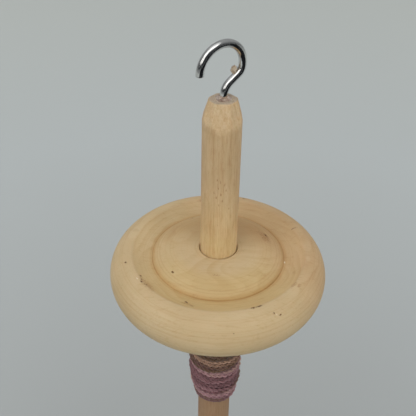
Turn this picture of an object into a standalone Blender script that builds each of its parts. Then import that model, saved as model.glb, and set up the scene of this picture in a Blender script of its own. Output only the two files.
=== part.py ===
"""Drop spindle with a top whorl: a dowel shaft, a turned whorl, a glued screw hook and a cop of yarn.

Metres, +Z up. Heights are counted from the shaft's foot while the pieces are made. The whole spindle
then hangs from the origin, which lies on the shaft's axis, level with the inside of the hook's crown.
"""

import math

import bmesh
import bpy
from mathutils import Matrix, Vector

MM = 0.001
GAP = 0.3 * MM  # left between two pieces that touch
MERGE = 0.01 * MM  # points of one piece nearer than this are one point

# Shaft: a length of dowel whose top is whittled thinner with a knife.
SHAFT_LENGTH = 304.8 * MM
SHAFT_RADIUS = 6.35 * MM
SHAFT_SIDES = 64
FOOT_CHAMFER = 0.8 * MM
KNIFE_CUTS = (  # each one's bearing in degrees, its depth at the end face, its length down the shaft
    (-90, 3.1 * MM, 9.6 * MM),
    (-43, 2.5 * MM, 8.7 * MM),
    (2, 1.8 * MM, 7.3 * MM),
    (47, 2.4 * MM, 8.4 * MM),
    (91, 3.0 * MM, 9.0 * MM),
    (137, 2.5 * MM, 8.0 * MM),
    (181, 2.1 * MM, 7.4 * MM),
    (226, 2.5 * MM, 7.3 * MM),
)

# Whorl: a disc with a domed hub, a groove, a cove that rises to a crest, and a full round rim.
WHORL_BELOW_TOP = 59.2 * MM  # the shaft's top end stands this far out of the hub
WHORL_RADIUS = 38.2 * MM
WHORL_THICKNESS = 19.4 * MM
WHORL_SIDES = 64
BORE_CLEARANCE = 0.25 * MM  # round the shaft
BORE_EASING = 0.4 * MM  # radius of the bore's two softened edges
HUB_FLAT_RADIUS = 11.0 * MM
GROOVE_DEPTH = 4.0 * MM
DOME_END = math.radians(70)  # how far round its ellipse the hub's dome runs before it meets the groove
COVE_WIDTH = 7.1 * MM
COVE_BEND = math.radians(27)  # how much the cove turns upwards between the groove and the crest
CREST_DROP = 1.85 * MM  # the crest lies this far below the hub
RIM_WIDTH = 7.9 * MM  # from the crest to the whorl's widest point

# Screw hook: one bent wire with a gimlet thread cut on its straight end.
WIRE_RADIUS = 1.3 * MM
WIRE_SIDES = 14
HOOK_BEARING = math.radians(38)  # of the hook's plane, round the shaft
SHANK_OFFSET = 0.3 * MM  # the hook was screwed in this far off the shaft's axis
NECK_RISE = 0.8 * MM  # of straight wire above the shaft
NECK_BEND_RADIUS = 4.9 * MM
NECK_LEAN = math.radians(58)  # away from upright, towards the hook's closed side
NECK_RUN = 3.6 * MM  # of straight wire between the neck and the throat
THROAT_BEND_RADIUS = 3.0 * MM
THROAT_TURN = math.radians(47)
LOOP_RADIUS = 8.0 * MM
LOOP_TURN = math.radians(192)
TIP_CHAMFER = 0.2 * MM
SHANK_DEPTH = 17.0 * MM  # of wire inside the shaft
THREAD_LENGTH = 13.0 * MM
THREAD_PITCH = 1.4 * MM
THREAD_DEPTH = 0.4 * MM
THREAD_RUNOUT = 1.2 * MM
GIMLET_TAPER = 3.5 * MM
STEPS_PER_THREAD = 6
BEND_STEP = math.radians(9)
RUN_STEP = 1.2 * MM

# Glue: a collar of it, dried round the shank on the end of the shaft.
GLUE_WIDTH = 1.0 * MM
GLUE_HEIGHT = 0.8 * MM
GLUE_BRIM = 0.3 * MM  # of its top that is flat
GLUE_SIDES = 24

# Yarn cop: the wound yarn as one soft body, full under the whorl and rounded off at its lower end.
COP_WALL = 3.85 * MM  # thickness of the winding over the shaft
COP_TOE_WALL = 0.7 * MM
COP_LENGTH = 58.8 * MM
COP_TAPER = 17.5 * MM
COP_SHOULDER = 1.0 * MM
COP_TAPER_STEPS = 8
COP_SIDES = 48

SHAFT_COLOUR = (0.50, 0.37, 0.20)
WHORL_COLOUR = (0.56, 0.42, 0.23)
STEEL_COLOUR = (0.62, 0.62, 0.63)
YARN_COLOUR = (0.17, 0.09, 0.09)
GLUE_COLOUR = (0.55, 0.45, 0.32)

HUB_HEIGHT = SHAFT_LENGTH - WHORL_BELOW_TOP
BORE_RADIUS = SHAFT_RADIUS + BORE_CLEARANCE
PILOT_RADIUS = WIRE_RADIUS + GAP
HOOK_ACROSS = Vector((math.cos(HOOK_BEARING), math.sin(HOOK_BEARING), 0.0))
HOOK_NORMAL = Vector((0.0, 0.0, 1.0)).cross(HOOK_ACROSS)


def clear_scene():
    for left_over in list(bpy.data.objects):
        bpy.data.objects.remove(left_over)


def material(name, colour, roughness, metallic=0.0):
    made = bpy.data.materials.new(name)
    made.use_nodes = True
    shader = made.node_tree.nodes["Principled BSDF"]
    shader.inputs["Base Color"].default_value = (*colour, 1.0)
    shader.inputs["Roughness"].default_value = roughness
    shader.inputs["Metallic"].default_value = metallic
    made.diffuse_color = (*colour, 1.0)
    return made


def add_piece(name, shape, surface, parent, location=(0.0, 0.0, 0.0)):
    """An object made from the bmesh shape, which is used up."""
    bmesh.ops.recalc_face_normals(shape, faces=shape.faces)
    mesh = bpy.data.meshes.new(name)
    shape.to_mesh(mesh)
    shape.free()
    mesh.shade_smooth()
    mesh.set_sharp_from_angle(angle=math.radians(35))
    if surface:
        mesh.materials.append(surface)
    piece = bpy.data.objects.new(name, mesh)
    piece.parent = parent
    piece.location = location
    bpy.context.scene.collection.objects.link(piece)
    return piece


def turned(outline, sides):
    """A ring turned about Z from outline, the (radius, height) corners of its closed section."""
    shape = bmesh.new()
    corners = [shape.verts.new((radius, 0.0, height)) for radius, height in outline]
    edges = [shape.edges.new(pair) for pair in zip(corners, corners[1:] + corners[:1])]
    bmesh.ops.spin(
        shape,
        geom=corners + edges,
        cent=(0.0, 0.0, 0.0),
        axis=(0.0, 0.0, 1.0),
        angle=math.tau,
        steps=sides,
        use_merge=True,
    )
    bmesh.ops.remove_doubles(shape, verts=shape.verts, dist=MERGE)
    return shape


def ellipse_arc(centre, across, up, start, end, steps):
    """Points of an ellipse from the angle start to the angle end, both counted from +radius."""
    angles = [start + (end - start) * step / steps for step in range(steps + 1)]
    return [(centre[0] + across * math.cos(a), centre[1] + up * math.sin(a)) for a in angles]


def hollow_arc(start, end, bend, steps):
    """Points of the arc from start to end that turns upwards by bend on its way."""
    chord = math.dist(start, end)
    heading = math.atan2(end[1] - start[1], end[0] - start[0]) - bend / 2
    radius = chord / (2 * math.sin(bend / 2))
    points = []
    for step in range(steps + 1):
        turn = bend * step / steps
        across = radius * (math.sin(heading + turn) - math.sin(heading))
        up = radius * (math.cos(heading) - math.cos(heading + turn))
        points.append((start[0] + across, start[1] + up))
    return points


def whorl_outline():
    """The whorl's section, clockwise from the top of its bore. Height 0 is the flat of the hub."""
    quarter = math.pi / 2
    crest_radius = WHORL_RADIUS - RIM_WIDTH
    hub_radius = crest_radius - COVE_WIDTH
    eased_bore = BORE_RADIUS + BORE_EASING
    bore_top = ellipse_arc((eased_bore, -BORE_EASING), BORE_EASING, BORE_EASING, math.pi, quarter, 3)
    dome_across = (hub_radius - HUB_FLAT_RADIUS) / math.sin(DOME_END)
    dome_up = GROOVE_DEPTH / (1 - math.cos(DOME_END))
    dome = ellipse_arc(
        (HUB_FLAT_RADIUS, -dome_up), dome_across, dome_up, quarter, quarter - DOME_END, 8
    )
    cove = hollow_arc((hub_radius, -GROOVE_DEPTH), (crest_radius, -CREST_DROP), COVE_BEND, 6)
    rim_up = (WHORL_THICKNESS - CREST_DROP) / 2
    rim = ellipse_arc((crest_radius, -CREST_DROP - rim_up), RIM_WIDTH, rim_up, quarter, -quarter, 18)
    bore_foot = ellipse_arc(
        (eased_bore, BORE_EASING - WHORL_THICKNESS), BORE_EASING, BORE_EASING, -quarter, -math.pi, 3
    )
    return bore_top + dome + cove[1:] + rim[1:] + bore_foot


def make_whorl(parent):
    surface = material("whorl_wood", WHORL_COLOUR, 0.55)
    shape = turned(whorl_outline(), WHORL_SIDES)
    return add_piece("whorl", shape, surface, parent, (0.0, 0.0, HUB_HEIGHT))


def pare(shape, bearing, depth, length):
    """One flat knife cut down the shaft's top end, which takes away what is outside it."""
    outwards = Vector((math.cos(bearing), math.sin(bearing), 0.0))
    slope = math.atan2(depth, length)
    facing = outwards * math.cos(slope) + Vector((0.0, 0.0, math.sin(slope)))
    on_cut = outwards * (SHAFT_RADIUS - depth) + Vector((0.0, 0.0, SHAFT_LENGTH))
    everything = list(shape.verts) + list(shape.edges) + list(shape.faces)
    cut = bmesh.ops.bisect_plane(
        shape, geom=everything, dist=MERGE, plane_co=on_cut, plane_no=facing, clear_outer=True
    )
    rim = [part for part in cut["geom_cut"] if isinstance(part, bmesh.types.BMEdge)]
    bmesh.ops.contextual_create(shape, geom=rim)


def make_shaft(parent):
    shape = bmesh.new()
    bmesh.ops.create_cone(
        shape,
        cap_ends=True,
        segments=SHAFT_SIDES,
        radius1=SHAFT_RADIUS,
        radius2=SHAFT_RADIUS,
        depth=SHAFT_LENGTH,
        matrix=Matrix.Translation((0.0, 0.0, SHAFT_LENGTH / 2)),
    )
    foot = [edge for edge in shape.edges if all(vert.co.z < MERGE for vert in edge.verts)]
    bmesh.ops.bevel(
        shape, geom=foot, offset=FOOT_CHAMFER, segments=2, profile=0.5, affect="EDGES"
    )
    for bearing, depth, length in KNIFE_CUTS:
        pare(shape, math.radians(bearing), depth, length)
    shaft = add_piece("shaft", shape, material("shaft_wood", SHAFT_COLOUR, 0.6), parent)
    hole = shaft.modifiers.new("pilot_hole", "BOOLEAN")
    hole.operation = "DIFFERENCE"
    hole.object = make_pilot_drill(parent)
    return shaft


def make_pilot_drill(parent):
    """The cutter for the hole that the hook is screwed into."""
    depth = SHANK_DEPTH + GAP
    overshoot = depth  # it runs this far out of the top
    shape = bmesh.new()
    bmesh.ops.create_cone(
        shape,
        cap_ends=True,
        segments=WIRE_SIDES * 2,
        radius1=PILOT_RADIUS,
        radius2=PILOT_RADIUS,
        depth=depth + overshoot,
    )
    drill = add_piece("pilot_drill", shape, None, parent)
    drill.location = HOOK_ACROSS * SHANK_OFFSET + Vector((0.0, 0.0, SHAFT_LENGTH))
    drill.hide_render = True
    drill.display_type = "WIRE"
    return drill


def run(path, length, step):
    """Carries the wire straight on. A path's points are (across, height, heading)."""
    across, height, heading = path[-1]
    count = max(1, round(length / step))
    for index in range(1, count + 1):
        done = length * index / count
        path.append(
            (across + done * math.cos(heading), height + done * math.sin(heading), heading)
        )


def bend(path, radius, turn):
    """Bends the wire on by turn, to the left if it is positive."""
    across, height, heading = path[-1]
    side = math.copysign(radius, turn)
    centre = (across - side * math.sin(heading), height + side * math.cos(heading))
    count = max(2, round(abs(turn) / BEND_STEP))
    for index in range(1, count + 1):
        angle = heading + turn * index / count
        path.append(
            (centre[0] + side * math.sin(angle), centre[1] - side * math.cos(angle), angle)
        )
    return centre


def hook_path():
    """The wire's centreline from its gimlet point up, and the height of its crown's inside."""
    path = [(SHANK_OFFSET, SHAFT_LENGTH - SHANK_DEPTH, math.pi / 2)]
    run(path, THREAD_LENGTH, THREAD_PITCH / STEPS_PER_THREAD)
    run(path, SHANK_DEPTH - THREAD_LENGTH + NECK_RISE, RUN_STEP)
    bend(path, NECK_BEND_RADIUS, -NECK_LEAN)
    run(path, NECK_RUN, RUN_STEP)
    bend(path, THROAT_BEND_RADIUS, THROAT_TURN)
    _, loop_height = bend(path, LOOP_RADIUS, LOOP_TURN)
    return path, loop_height + LOOP_RADIUS - WIRE_RADIUS


def wire_radius(along, angle):
    """The wire's radius at this distance from its point, with the thread's ridge where it has one."""
    if along >= THREAD_LENGTH:
        return WIRE_RADIUS
    phase = (along / THREAD_PITCH - angle / math.tau) % 1.0
    ridge = 1 - abs(2 * phase - 1)
    full = WIRE_RADIUS - THREAD_DEPTH * (1 - ridge)
    runout = max(0.0, 1 - (THREAD_LENGTH - along) / THREAD_RUNOUT)
    point = min(1.0, along / GIMLET_TAPER)
    return point * (full + (WIRE_RADIUS - full) * runout)


def make_hook(parent, path):
    shape = bmesh.new()
    rings = []
    along = 0.0
    for index, (across, height, heading) in enumerate(path[1:], 1):
        along += math.dist(path[index - 1][:2], (across, height))
        centre = HOOK_ACROSS * across + Vector((0.0, 0.0, height))
        inwards = HOOK_ACROSS * -math.sin(heading) + Vector((0.0, 0.0, math.cos(heading)))
        ring = []
        for side in range(WIRE_SIDES):
            angle = math.tau * side / WIRE_SIDES
            outwards = inwards * math.cos(angle) + HOOK_NORMAL * math.sin(angle)
            ring.append(shape.verts.new(centre + outwards * wire_radius(along, angle)))
        rings.append(ring)
    for lower, upper in zip(rings, rings[1:]):
        for side in range(WIRE_SIDES):
            after = (side + 1) % WIRE_SIDES
            shape.faces.new((lower[side], lower[after], upper[after], upper[side]))
    across, height, _ = path[0]
    point = shape.verts.new(HOOK_ACROSS * across + Vector((0.0, 0.0, height)))
    for side in range(WIRE_SIDES):
        shape.faces.new((point, rings[0][(side + 1) % WIRE_SIDES], rings[0][side]))
    tip = shape.faces.new(rings[-1])
    bmesh.ops.bevel(
        shape, geom=list(tip.edges), offset=TIP_CHAMFER, segments=1, profile=0.5, affect="EDGES"
    )
    return add_piece("screw_hook", shape, material("steel", STEEL_COLOUR, 0.15, 1.0), parent)


def make_glue_collar(parent):
    inner = WIRE_RADIUS + GAP
    brim = inner + GLUE_BRIM
    outline = [(inner, GLUE_HEIGHT)]
    outline += ellipse_arc((brim, 0.0), GLUE_WIDTH - GLUE_BRIM, GLUE_HEIGHT, math.pi / 2, 0.0, 4)
    outline.append((inner, 0.0))
    surface = material("glue", GLUE_COLOUR, 0.2)
    place = HOOK_ACROSS * SHANK_OFFSET + Vector((0.0, 0.0, SHAFT_LENGTH + GAP))
    return add_piece("glue_collar", turned(outline, GLUE_SIDES), surface, parent, place)


def cop_outline():
    """The cop's section, clockwise from the top of its inside. Height 0 is its top."""
    inner = SHAFT_RADIUS + GAP
    outer = SHAFT_RADIUS + COP_WALL
    toe = SHAFT_RADIUS + COP_TOE_WALL
    shoulder = ellipse_arc(
        (outer - COP_SHOULDER, -COP_SHOULDER), COP_SHOULDER, COP_SHOULDER, math.pi / 2, 0.0, 3
    )
    taper = []
    for step in range(COP_TAPER_STEPS + 1):
        down = step / COP_TAPER_STEPS
        radius = toe + (outer - toe) * math.cos(math.pi / 2 * down)
        taper.append((radius, COP_TAPER * (1 - down) - COP_LENGTH))
    return [(inner, 0.0)] + shoulder + taper + [(inner, -COP_LENGTH)]


def make_yarn_cop(parent):
    surface = material("yarn", YARN_COLOUR, 0.95)
    top = HUB_HEIGHT - WHORL_THICKNESS - GAP
    return add_piece("yarn_cop", turned(cop_outline(), COP_SIDES), surface, parent, (0.0, 0.0, top))


def main():
    clear_scene()
    path, crown_height = hook_path()
    spindle = bpy.data.objects.new("spindle_hang", None)
    spindle.location = (0.0, 0.0, -crown_height)
    bpy.context.scene.collection.objects.link(spindle)
    make_shaft(spindle)
    make_whorl(spindle)
    make_hook(spindle, path)
    make_glue_collar(spindle)
    make_yarn_cop(spindle)


main()
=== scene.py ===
"""Looks for the drop spindle: turned whorl, whittled dowel, steel hook, dried glue and wound yarn."""

import math
import random

import bmesh
import bpy
import numpy as np
from mathutils import Matrix, Vector, noise


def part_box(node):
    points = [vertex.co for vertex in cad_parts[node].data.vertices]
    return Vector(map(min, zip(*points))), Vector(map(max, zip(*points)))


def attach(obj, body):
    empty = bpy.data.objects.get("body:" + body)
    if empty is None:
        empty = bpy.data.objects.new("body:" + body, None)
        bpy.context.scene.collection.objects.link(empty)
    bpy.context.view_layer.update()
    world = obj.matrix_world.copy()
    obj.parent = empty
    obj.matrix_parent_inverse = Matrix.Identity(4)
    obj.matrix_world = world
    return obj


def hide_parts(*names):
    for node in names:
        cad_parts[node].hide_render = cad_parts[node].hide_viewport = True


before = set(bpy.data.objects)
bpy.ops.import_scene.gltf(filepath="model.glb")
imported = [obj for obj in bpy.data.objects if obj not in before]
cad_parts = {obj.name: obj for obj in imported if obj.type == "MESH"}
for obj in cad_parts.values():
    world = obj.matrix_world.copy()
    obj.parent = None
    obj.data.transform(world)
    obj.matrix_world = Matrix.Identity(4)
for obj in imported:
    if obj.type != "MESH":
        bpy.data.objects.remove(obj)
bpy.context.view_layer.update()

MM = 0.001
SPINDLE, WHORL = "spindle", "whorl"  # the two bodies

# Places and sizes that the frame gives
SHAFT_LOW, SHAFT_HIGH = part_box("shaft")
WHORL_LOW, WHORL_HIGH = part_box("whorl")
COP_LOW, COP_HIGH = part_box("yarn_cop")
SHAFT_TOP, SHAFT_FOOT = SHAFT_HIGH.z, SHAFT_LOW.z
SHAFT_RADIUS = (SHAFT_HIGH.x - SHAFT_LOW.x) / 2
HUB_HEIGHT, WHORL_UNDERSIDE = WHORL_HIGH.z, WHORL_LOW.z
WHORL_RADIUS = (WHORL_HIGH.x - WHORL_LOW.x) / 2
WHORL_THICKNESS = HUB_HEIGHT - WHORL_UNDERSIDE
COP_TOP, COP_FOOT = COP_HIGH.z, COP_LOW.z
COP_RADIUS = (COP_HIGH.x - COP_LOW.x) / 2


# ---------------------------------------------------------------- camera, lights and floor

CAMERA_PLACE = (0.0, -219.2 * MM, HUB_HEIGHT + 184.8 * MM)
CAMERA_DOWN, CAMERA_YAW, CAMERA_ROLL = math.radians(37.46), math.radians(-1.02), math.radians(1.12)
CAMERA_LENS, SENSOR_WIDTH = 70.9, 36.0  # in millimetres, as Blender has them
CEILING_STRENGTH = 0.44
CEILING_WIDTH = math.radians(70)
CEILING_LEAN = (math.radians(12), math.radians(-6), 0.0)
ROOM_STRENGTH = 0.6
ROOM_PALE_SIDE = (0.0, 0.30, 0.34)  # towards the paler part of the room
ROOM_DARK, ROOM_PALE = (0.06, 0.065, 0.07, 1.0), (0.55, 0.565, 0.57, 1.0)
LIGHT_DISTANCE = 1.2
LAMP_COLOUR = (1.0, 0.985, 0.96)
SOFTBOXES = (  # name, bearing to the right of the camera, climb, width, height, power, whether gloss shows it
    ("window_left", -56, 38, 0.50, 0.80, 1.8, True),
    ("window_right", -24, 38, 0.50, 0.80, 1.8, True),
    ("overhead", 4, 68, 1.40, 0.50, 3.4, True),
    ("front_right", 36, 12, 0.70, 0.60, 4.1, False),
    ("front_left", -36, 12, 0.70, 0.60, 1.0, False),
    ("left_fill", -108, 12, 0.70, 0.60, 1.8, False),
    ("right_fill", 110, 12, 0.70, 0.60, 1.7, False),
    ("back_left", -155, 25, 0.80, 0.80, 1.2, False),
    ("back_right", 155, 25, 0.80, 0.80, 1.2, False),
)
FLOOR_TONES = (  # distance from the object's foot, as a share of FLOOR_REACH, and the paint there
    (0.08, (0.405, 0.428, 0.430)),
    (0.24, (0.510, 0.548, 0.554)),
    (0.42, (0.545, 0.578, 0.560)),
    (1.00, (0.620, 0.640, 0.630)),
)
FLOOR_REACH = 2000.0  # in millimetres, as all lengths inside materials are
FLOOR_SIZE = 6.0
CLOTH_SIZE = (1.7, 1.5)
CLOTH_PLACE = (1.55, -1.52, SHAFT_FOOT + 2 * MM)


def make_camera():
    data = bpy.data.cameras.new("camera")
    data.lens = CAMERA_LENS
    data.sensor_width = SENSOR_WIDTH
    data.clip_start = 0.01
    camera = bpy.data.objects.new("camera", data)
    turn = Matrix.Rotation(-CAMERA_YAW, 4, "Z")
    turn @= Matrix.Rotation(math.pi / 2 - CAMERA_DOWN, 4, "X")
    turn @= Matrix.Rotation(CAMERA_ROLL, 4, "Z")
    camera.matrix_world = Matrix.Translation(CAMERA_PLACE) @ turn
    bpy.context.scene.collection.objects.link(camera)
    bpy.context.scene.camera = camera


def make_softbox(name, bearing, climb, width, height, power, in_gloss):
    data = bpy.data.lights.new(name, "AREA")
    data.shape = "RECTANGLE"
    data.size, data.size_y = width, height
    data.energy = power
    data.color = LAMP_COLOUR
    light = bpy.data.objects.new(name, data)
    turn, lift = math.radians(bearing), math.radians(climb)
    away = Vector((math.sin(turn) * math.cos(lift), -math.cos(turn) * math.cos(lift), math.sin(lift)))
    light.location = Vector((0.0, 0.0, HUB_HEIGHT)) + LIGHT_DISTANCE * away
    light.rotation_euler = (-away).to_track_quat("-Z", "Y").to_euler()
    light.visible_glossy = in_gloss
    light.visible_camera = False
    bpy.context.scene.collection.objects.link(light)


def make_ceiling():
    """A wide, soft light straight down, which falls on the whole floor alike."""
    data = bpy.data.lights.new("ceiling", "SUN")
    data.energy = CEILING_STRENGTH
    data.angle = CEILING_WIDTH
    light = bpy.data.objects.new("ceiling", data)
    light.rotation_euler = CEILING_LEAN
    bpy.context.scene.collection.objects.link(light)


def make_world():
    """A dim room, paler behind and above the object than in front of it."""
    world = bpy.data.worlds.new("room")
    world.use_nodes = True
    nodes, links = world.node_tree.nodes, world.node_tree.links
    place = nodes.new("ShaderNodeTexCoord")
    facing = nodes.new("ShaderNodeVectorMath")
    facing.operation = "DOT_PRODUCT"
    facing.inputs[1].default_value = ROOM_PALE_SIDE
    ramp = nodes.new("ShaderNodeValToRGB")
    spread = nodes.new("ShaderNodeMapRange")
    spread.inputs["From Min"].default_value = -0.5
    spread.inputs["From Max"].default_value = 0.5
    links.new(place.outputs["Generated"], facing.inputs[0])
    links.new(facing.outputs["Value"], spread.inputs["Value"])
    links.new(spread.outputs["Result"], ramp.inputs["Fac"])
    dark, pale = ramp.color_ramp.elements
    dark.position, dark.color = 0.40, ROOM_DARK
    pale.position, pale.color = 0.80, ROOM_PALE
    links.new(ramp.outputs["Color"], nodes["Background"].inputs["Color"])
    nodes["Background"].inputs["Strength"].default_value = ROOM_STRENGTH
    bpy.context.scene.world = world


def make_plane(name, across, deep, place, surface):
    mesh = bpy.data.meshes.new(name)
    corners = [(-across, -deep, 0.0), (across, -deep, 0.0), (across, deep, 0.0), (-across, deep, 0.0)]
    mesh.from_pydata(corners, [], [(0, 1, 2, 3)])
    mesh.materials.append(surface)
    plane = bpy.data.objects.new(name, mesh)
    plane.location = place
    bpy.context.scene.collection.objects.link(plane)
    return plane


def make_floor():
    paint = Graph("floor_paint", roughness=0.85, specular=0.15)
    place = paint.millimetres()
    # the lamps stand round the object, so the floor's paint makes up for what they lose with distance
    away = paint.vector("LENGTH", place)
    away = paint.math("MULTIPLY_ADD", paint.noise(place, (0.004, 0.004, 0.004), detail=3.0), 60.0, away)
    paint.colour(paint.ramp(paint.math("DIVIDE", away, FLOOR_REACH), *FLOOR_TONES))
    tooth = paint.noise(place, (0.6, 0.6, 0.6), detail=3.0)
    paint.rough(paint.ease(tooth, 0.3, 0.7, 0.80, 0.90))
    paint.bump(tooth, 0.00005, 0.3)
    make_plane("floor", FLOOR_SIZE, FLOOR_SIZE, (0.0, 0.0, SHAFT_FOOT), paint.material)
    # black cloth in front of the object, seen only in reflections
    cloth = Graph("black_cloth", roughness=0.9, specular=0.0)
    cloth.colour((0.012, 0.013, 0.015))
    card = make_plane("black_cloth", *CLOTH_SIZE, CLOTH_PLACE, cloth.material)
    card.visible_camera = False
    card.visible_diffuse = False
    card.visible_transmission = False
    card.visible_shadow = False


# ---------------------------------------------------------------- materials


class Graph:
    """A Principled material whose nodes are each made and linked in one call."""

    SOCKETS = {
        "roughness": "Roughness",
        "metallic": "Metallic",
        "specular": "Specular IOR Level",
        "ior": "IOR",
        "transmission": "Transmission Weight",
        "subsurface": "Subsurface Weight",
        "subsurface_scale": "Subsurface Scale",
        "sheen": "Sheen Weight",
        "sheen_roughness": "Sheen Roughness",
        "coat": "Coat Weight",
        "coat_roughness": "Coat Roughness",
    }

    def __init__(self, name, **values):
        self.material = bpy.data.materials.new(name)
        self.material.use_nodes = True
        self.tree = self.material.node_tree
        self.shader = self.tree.nodes["Principled BSDF"]
        for key, value in values.items():
            self.shader.inputs[self.SOCKETS[key]].default_value = value

    def put(self, socket, value):
        if isinstance(value, bpy.types.NodeSocket):
            self.tree.links.new(value, socket)
        elif isinstance(value, tuple) and socket.type == "RGBA":
            socket.default_value = (*value, 1.0)
        else:
            socket.default_value = value

    def node(self, kind, inputs, output=0, **settings):
        made = self.tree.nodes.new("ShaderNode" + kind)
        for key, value in settings.items():
            setattr(made, key, value)
        for key, value in inputs.items():
            self.put(made.inputs[key], value)
        return made.outputs[output]

    def math(self, operation, *values):
        return self.node("Math", dict(enumerate(values)), operation=operation)

    def vector(self, operation, *values):
        output = 1 if operation in ("LENGTH", "DISTANCE") else 0
        return self.node("VectorMath", dict(enumerate(values)), output, operation=operation)

    def millimetres(self):
        """Object coordinates in millimetres."""
        place = self.node("TexCoord", {}, "Object")
        return self.vector("MULTIPLY", place, (1000.0, 1000.0, 1000.0))

    def split(self, place):
        """The three parts of a vector."""
        made = self.tree.nodes.new("ShaderNodeSeparateXYZ")
        self.put(made.inputs[0], place)
        return made.outputs[0], made.outputs[1], made.outputs[2]

    def noise(self, place, stretch, detail=2.0, roughness=0.5, distortion=0.0):
        """Noise over place times stretch, from 0 to 1."""
        inputs = {
            "Vector": self.vector("MULTIPLY", place, stretch),
            "Scale": 1.0,
            "Detail": detail,
            "Roughness": roughness,
            "Distortion": distortion,
        }
        return self.node("TexNoise", inputs, "Fac")

    def ease(self, value, low, high, to_low=0.0, to_high=1.0):
        """value from low..high to to_low..to_high, smoothly and within it."""
        inputs = {0: value, 1: low, 2: high, 3: to_low, 4: to_high}
        return self.node("MapRange", inputs, interpolation_type="SMOOTHSTEP")

    def ramp(self, factor, *stops):
        """A colour ramp: stops are (position, colour)."""
        made = self.tree.nodes.new("ShaderNodeValToRGB")
        elements = made.color_ramp.elements
        while len(elements) < len(stops):
            elements.new(0.5)
        for element, (position, colour) in zip(elements, stops):
            element.position = position
            element.color = (*colour, 1.0)
        self.put(made.inputs[0], factor)
        return made.outputs[0]

    def colour(self, value):
        self.put(self.shader.inputs["Base Color"], value)

    def tint(self, factor, tone, blend="MULTIPLY"):
        """The colour given before times tone, or with MIX the tone itself, where factor is 1."""
        made = self.tree.nodes.new("ShaderNodeMix")
        made.data_type = "RGBA"
        made.blend_type = blend
        self.put(made.inputs["Factor"], factor)
        self.put(made.inputs[6], self.shader.inputs["Base Color"].links[0].from_socket)
        self.put(made.inputs[7], tone)
        self.colour(made.outputs[2])

    def rough(self, value):
        self.put(self.shader.inputs["Roughness"], value)

    def bump(self, height, depth, strength=1.0):
        """Relief of depth metres where height is 1, on top of what was given before."""
        inputs = {"Height": height, "Distance": depth, "Strength": strength}
        before = self.shader.inputs["Normal"]
        if before.is_linked:
            inputs["Normal"] = before.links[0].from_socket
        self.put(before, self.node("Bump", inputs))

    def spots(self, place, marks, ragged):
        """1 inside small marks and 0 outside. marks are (middle, turn, half sizes), in millimetres."""
        found = None
        for middle, turn, halves in marks:
            inputs = {"Vector": place, "Location": tuple(middle), "Scale": halves}
            inputs["Rotation"] = (0.0, 0.0, turn)
            inside = self.node("Mapping", inputs, vector_type="TEXTURE")
            spot = self.ease(self.math("ADD", self.vector("LENGTH", inside), ragged), 1.0, 0.35)
            found = spot if found is None else self.math("MAXIMUM", found, spot)
        return found


# ---------------------------------------------------------------- shapes


def add_piece(name, mesh, surface, body, place=(0.0, 0.0, 0.0), nodes=()):
    """Puts a finished mesh in the scene as a piece of that body, which stands for those CAD nodes."""
    mesh.materials.append(surface)
    piece = bpy.data.objects.new(name, mesh)
    piece.location = place
    bpy.context.scene.collection.objects.link(piece)
    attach(piece, body)
    if nodes:
        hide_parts(*nodes)
    return piece


def smooth_mesh(name, points, faces, sharp=None):
    mesh = bpy.data.meshes.new(name)
    mesh.from_pydata([tuple(point) for point in points], [], faces)
    mesh.shade_smooth()
    if sharp:
        mesh.set_sharp_from_angle(angle=math.radians(sharp))
    return mesh


def ring_faces(rings, sides, closed=False, first=0):
    """Faces between rings of sides points each, which are numbered ring after ring."""
    faces = []
    for ring in range(rings if closed else rings - 1):
        here, there = first + ring * sides, first + (ring + 1) % rings * sides
        for side in range(sides):
            after = (side + 1) % sides
            faces.append((here + side, here + after, there + after, there + side))
    return faces


def arc(centre, across, up, start, end, steps):
    """Points of an ellipse from the angle start to the angle end, both counted from +radius."""
    angles = [start + (end - start) * step / steps for step in range(steps + 1)]
    return [(centre[0] + across * math.cos(a), centre[1] + up * math.sin(a)) for a in angles]


def hollow_arc(start, end, turn, steps):
    """Points of the arc from start to end that turns upwards by turn on its way."""
    heading = math.atan2(end[1] - start[1], end[0] - start[0]) - turn / 2
    radius = math.dist(start, end) / (2 * math.sin(turn / 2))
    points = []
    for step in range(steps + 1):
        bent = turn * step / steps
        across = radius * (math.sin(heading + bent) - math.sin(heading))
        up = radius * (math.cos(heading) - math.cos(heading + bent))
        points.append((start[0] + across, start[1] + up))
    return points


def polar(bearing, radius, height=0.0):
    """The point at a bearing in degrees."""
    angle = math.radians(bearing)
    return Vector((radius * math.cos(angle), radius * math.sin(angle), height))


# ---------------------------------------------------------------- whorl

BORE_RADIUS = SHAFT_RADIUS + 0.25 * MM
BORE_EASING = 0.4 * MM
HUB_FLAT_RADIUS = 11.0 * MM
GROOVE_DEPTH = 4.0 * MM
DOME_END = math.radians(70)
COVE_WIDTH = 7.1 * MM
COVE_BEND = math.radians(27)
CREST_DROP = 1.85 * MM
RIM_WIDTH = 7.9 * MM
WHORL_SIDES = 288
SWELL = (8.0, -10.5, 0.0)  # where the growth rings swell up, in millimetres
CREST_RADIUS = WHORL_RADIUS - RIM_WIDTH
HUB_RADIUS = CREST_RADIUS - COVE_WIDTH
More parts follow.
